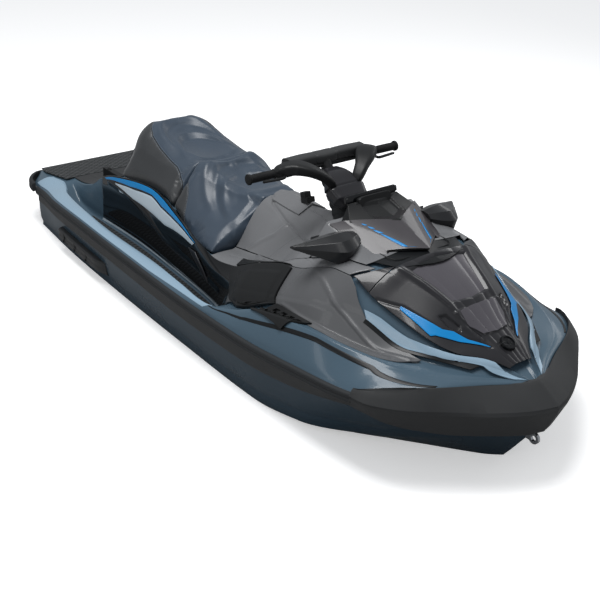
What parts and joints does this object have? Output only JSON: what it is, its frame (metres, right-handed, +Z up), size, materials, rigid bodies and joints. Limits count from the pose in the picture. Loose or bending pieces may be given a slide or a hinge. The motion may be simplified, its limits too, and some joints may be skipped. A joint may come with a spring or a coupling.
{
  "type": "personal watercraft",
  "caption": "Touring personal watercraft with a stepped saddle seat, leaning handlebar, hinged bow storage cover, steered and reversing jet nozzle and folding boarding step.",
  "frame": {"origin": "on the centreline amidships, at the level of the water when the craft floats unladen", "axes": "+X to the bow, +Y to port, +Z up"},
  "size_m": [3.45, 1.255, 1.112],
  "materials": {
    "hull_gelcoat": "gelcoat, slate blue, gloss",
    "deck_gelcoat": "gelcoat, light blue-grey, gloss",
    "rubber_trim": "moulded rubber, matt",
    "bumper_plastic": "moulded plastic, fine grain",
    "grey_plastic": "moulded plastic, satin",
    "foam_mat": "closed-cell foam mat, matt",
    "gloss_black": "piano gloss",
    "seat_vinyl": "marine vinyl, satin",
    "black_plastic": "moulded plastic, satin",
    "titanium_panel": "metallic-look moulded plastic, satin",
    "charcoal_panel": "moulded plastic, satin gloss",
    "stainless": "stainless steel",
    "grip_rubber": "ribbed rubber",
    "cast_metal": "cast aluminium, painted"
  },
  "bodies": {
    "craft": {"hull_shell": "hull_gelcoat", "deck": "deck_gelcoat", "bow_deck": "deck_gelcoat", "engine": "cast_metal", "rub_rail_s": "rubber_trim", "rub_rail_p": "rubber_trim", "bow_bumper": "bumper_plastic", "stern_bumper": "rubber_trim", "sponson_s": "grey_plastic", "sponson_p": "grey_plastic", "platform_mat": "foam_mat", "footwell_mats": "foam_mat", "side_pod_s": "gloss_black", "side_pod_p": "gloss_black", "seat_rear": "seat_vinyl", "seat_front": "seat_vinyl", "grab_handle": "rubber_trim", "cargo_base": "black_plastic", "console": "titanium_panel", "side_panel_s": "black_plastic", "side_panel_p": "black_plastic", "fairing_s": "titanium_panel", "fairing_p": "titanium_panel", "side_vent_s": "black_plastic", "side_vent_p": "black_plastic", "lower_hood": "charcoal_panel", "nose_cap": "gloss_black", "bow_eye": "stainless", "column": "charcoal_panel", "pump_housing": "cast_metal", "intake_grate": "cast_metal", "ride_plate": "cast_metal", "ladder_bracket": "cast_metal"},
    "cover": {"upper_hood": "charcoal_panel", "visor": "black_plastic", "gauge": "gloss_black", "mirror_s": "black_plastic", "mirror_p": "black_plastic"},
    "steering": {"handlebar": "stainless", "bar_pad": "black_plastic", "grip_s": "grip_rubber", "grip_p": "grip_rubber", "throttle_lever": "black_plastic", "reverse_lever": "black_plastic", "switch_pod": "black_plastic"},
    "glove_lid": {"glovebox_lid": "titanium_panel"},
    "impeller": {"impeller": "stainless"},
    "nozzle": {"steering_nozzle": "cast_metal"},
    "bucket": {"reverse_bucket": "black_plastic"},
    "ladder": {"ladder": "stainless"}
  },
  "joints": [
    {"name": "steering_turn", "type": "hinge", "parent": "craft", "child": "steering", "pos_m": [0.345, 0, 0.83], "axis": [-0.5736, 0, 0.8192], "range_deg": [-22, 22]},
    {"name": "nozzle_turn", "type": "hinge", "parent": "craft", "child": "nozzle", "pos_m": [-1.562, 0, -0.05], "axis": [0, 0, 1], "range_deg": [-20, 20]},
    {"name": "bucket_swing", "type": "hinge", "parent": "nozzle", "child": "bucket", "pos_m": [-1.624, 0, -0.05], "axis": [0, -1, 0], "range_deg": [0, 62]},
    {"name": "impeller_spin", "type": "hinge", "parent": "craft", "child": "impeller", "pos_m": [-1.4, 0, -0.05], "axis": [1, 0, 0], "continuous": true},
    {"name": "cover_swing", "type": "hinge", "parent": "craft", "child": "cover", "pos_m": [0.992, 0, 0.7], "axis": [0, 1, 0], "range_deg": [0, 48]},
    {"name": "glove_lid_swing", "type": "hinge", "parent": "craft", "child": "glove_lid", "pos_m": [0.256, 0, 0.64], "axis": [0, 1, 0], "range_deg": [0, 65]},
    {"name": "ladder_fold", "type": "hinge", "parent": "craft", "child": "ladder", "pos_m": [-1.586, 0, -0.06], "axis": [0, -1, 0], "range_deg": [0, 150], "stiffness_Nm_per_rad": 3, "springref_deg": -34.38}
  ],
  "couplings": [
    {"joint": "nozzle_turn", "follows": "steering_turn", "ratio": -0.9}
  ]
}
